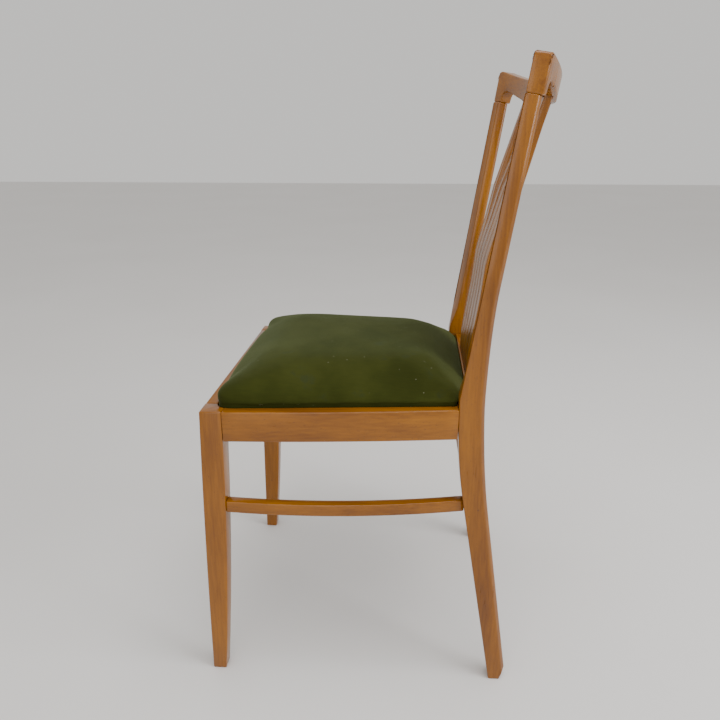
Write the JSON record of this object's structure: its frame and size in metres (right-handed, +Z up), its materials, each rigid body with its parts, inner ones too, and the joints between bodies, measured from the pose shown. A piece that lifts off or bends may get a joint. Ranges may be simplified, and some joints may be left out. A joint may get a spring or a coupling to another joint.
{
  "type": "dining chair",
  "caption": "Wooden dining chair with a fan of slats between raked uprights, a curved dipped crest rail, bowed side stretchers and a padded velvet drop-in seat.",
  "frame": {"origin": "on the floor, in the middle of the chair's outer box", "axes": "+Z up, the sitter faces -Y, the sitter's left is +X"},
  "size_m": [0.4184, 0.4897, 0.8894],
  "materials": {
    "stained_beech": "gloss lacquer over golden brown stain",
    "plain_beech": "bare",
    "steel": "plain",
    "webbing": "woven jute band",
    "hessian": "coarse weave",
    "stuffing": "felted fibre",
    "velvet": "cut pile velvet, olive green",
    "dust_cloth": "plain weave"
  },
  "bodies": {
    "frame": {"front_leg_left": "stained_beech", "front_leg_right": "stained_beech", "rear_leg_left": "stained_beech", "rear_leg_right": "stained_beech", "front_rail": "stained_beech", "rear_rail": "stained_beech", "side_rail_left": "stained_beech", "side_rail_right": "stained_beech", "side_stretcher_left": "stained_beech", "side_stretcher_right": "stained_beech", "crest_rail": "stained_beech", "back_slat_1": "stained_beech", "back_slat_2": "stained_beech", "back_slat_3": "stained_beech", "back_slat_4": "stained_beech", "back_slat_5": "stained_beech", "rail_dowels": "plain_beech", "crest_dowels": "plain_beech", "corner_block_front_left": "plain_beech", "corner_block_front_right": "plain_beech", "corner_block_rear_left": "plain_beech", "corner_block_rear_right": "plain_beech", "corner_block_screws": "steel"},
    "seat": {"seat_frame_front": "plain_beech", "seat_frame_back": "plain_beech", "seat_frame_left": "plain_beech", "seat_frame_right": "plain_beech", "seat_frame_dowels": "plain_beech", "webbing_lengthwise": "webbing", "webbing_crosswise": "webbing", "webbing_tacks": "steel", "hessian": "hessian", "stuffing": "stuffing", "velvet_cover": "velvet", "dust_cloth": "dust_cloth", "cover_tacks": "steel"}
  },
  "joints": [
    {"name": "seat_lift", "type": "slide", "parent": "frame", "child": "seat", "axis": [0, 0, 1], "range_m": [0, 0.15]}
  ]
}
